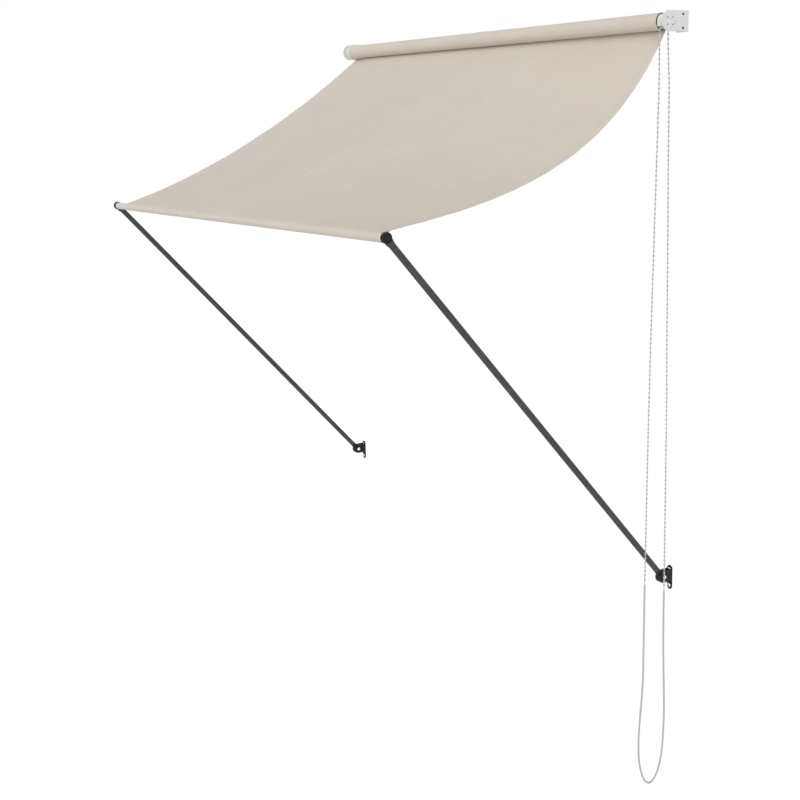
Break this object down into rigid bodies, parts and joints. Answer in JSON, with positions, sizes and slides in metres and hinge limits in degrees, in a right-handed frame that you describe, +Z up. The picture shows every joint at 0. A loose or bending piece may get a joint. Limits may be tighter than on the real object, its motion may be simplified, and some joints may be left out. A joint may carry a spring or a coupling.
{
  "type": "drop-arm canvas awning",
  "caption": "Drop-arm window awning: canvas rolled on a wall-mounted roller with a bead-chain drive, held out by two hinged arms and a round front bar.",
  "frame": {"origin": "centre of the drive bracket's wall flange, on the wall face", "axes": "+Z up, +Y into the wall, so the awning stands out towards -Y; +X along the roller from the idle end to the drive end"},
  "size_m": [1.6662, 0.948, 2.1252],
  "materials": {
    "white_steel": "satin white paint",
    "white_plastic": "moulded, satin",
    "black_plastic": "moulded, satin",
    "zinc": "zinc plated",
    "spring_steel": "oiled wire",
    "tube_aluminium": "mill finish",
    "canvas": "woven acrylic canvas, matt",
    "light_grey_paint": "satin paint",
    "dark_bolt": "blackened",
    "anthracite_cast": "satin powder coat on a casting",
    "anthracite_tube": "satin powder coat",
    "grey_chain": "plastic beads on a cord"
  },
  "bodies": {
    "root": {"drive_bracket": "white_steel", "idle_bracket": "white_steel", "drive_housing": "white_plastic", "drive_axle": "zinc", "clutch_spring": "spring_steel", "idle_pin": "zinc", "canvas": "canvas", "arm_spring_right": "spring_steel", "arm_spring_left": "spring_steel", "pivot_bolt_right": "zinc", "pivot_bolt_left": "zinc", "pivot_nut_right": "zinc", "pivot_nut_left": "zinc", "arm_bracket_right": "anthracite_cast", "arm_bracket_left": "anthracite_cast", "arm_screw_right_upper": "zinc", "arm_screw_right_lower": "zinc", "arm_screw_left_upper": "zinc", "arm_screw_left_lower": "zinc", "drive_screw_upper": "zinc", "drive_screw_lower": "zinc", "idle_screw_upper": "zinc", "idle_screw_lower": "zinc", "chain_loop": "grey_chain"},
    "roller": {"chain_wheel": "white_plastic", "drive_plug": "black_plastic", "roller_tube": "tube_aluminium", "canvas_roll": "canvas", "idle_plug": "white_plastic"},
    "right_arm": {"arm_head_right": "anthracite_cast", "arm_tube_right": "anthracite_tube", "arm_foot_right": "anthracite_cast", "bar_bolt_right": "dark_bolt"},
    "left_arm": {"arm_head_left": "anthracite_cast", "arm_tube_left": "anthracite_tube", "arm_foot_left": "anthracite_cast", "bar_bolt_left": "dark_bolt"},
    "front_bar": {"front_bar_tube": "light_grey_paint", "bar_plug_right": "white_plastic", "bar_plug_left": "white_plastic"}
  },
  "joints": [
    {"name": "right_arm_swing", "type": "hinge", "parent": "root", "child": "right_arm", "pos_m": [-0.0062, -0.0329, -1.5037], "axis": [1, 0, 0], "range_deg": [-37, 48], "deforming": ["canvas"]},
    {"name": "left_arm_swing", "type": "hinge", "parent": "root", "child": "left_arm", "pos_m": [-1.6289, -0.0329, -1.5037], "axis": [1, 0, 0], "range_deg": [-37, 48]},
    {"name": "roller_spin", "type": "hinge", "parent": "root", "child": "roller", "pos_m": [-0.75, -0.0658, 0], "axis": [1, 0, 0], "range_deg": [-2420, 1870]},
    {"name": "bar_pivot", "type": "hinge", "parent": "right_arm", "child": "front_bar", "pos_m": [-0.0062, -0.92077, -0.48304], "axis": [0.9999, 0.0091, 0.008], "range_deg": [-60, 60]}
  ],
  "couplings": [
    {"joint": "left_arm_swing", "follows": "right_arm_swing", "ratio": 1},
    {"joint": "roller_spin", "follows": "right_arm_swing", "ratio": -50}
  ]
}
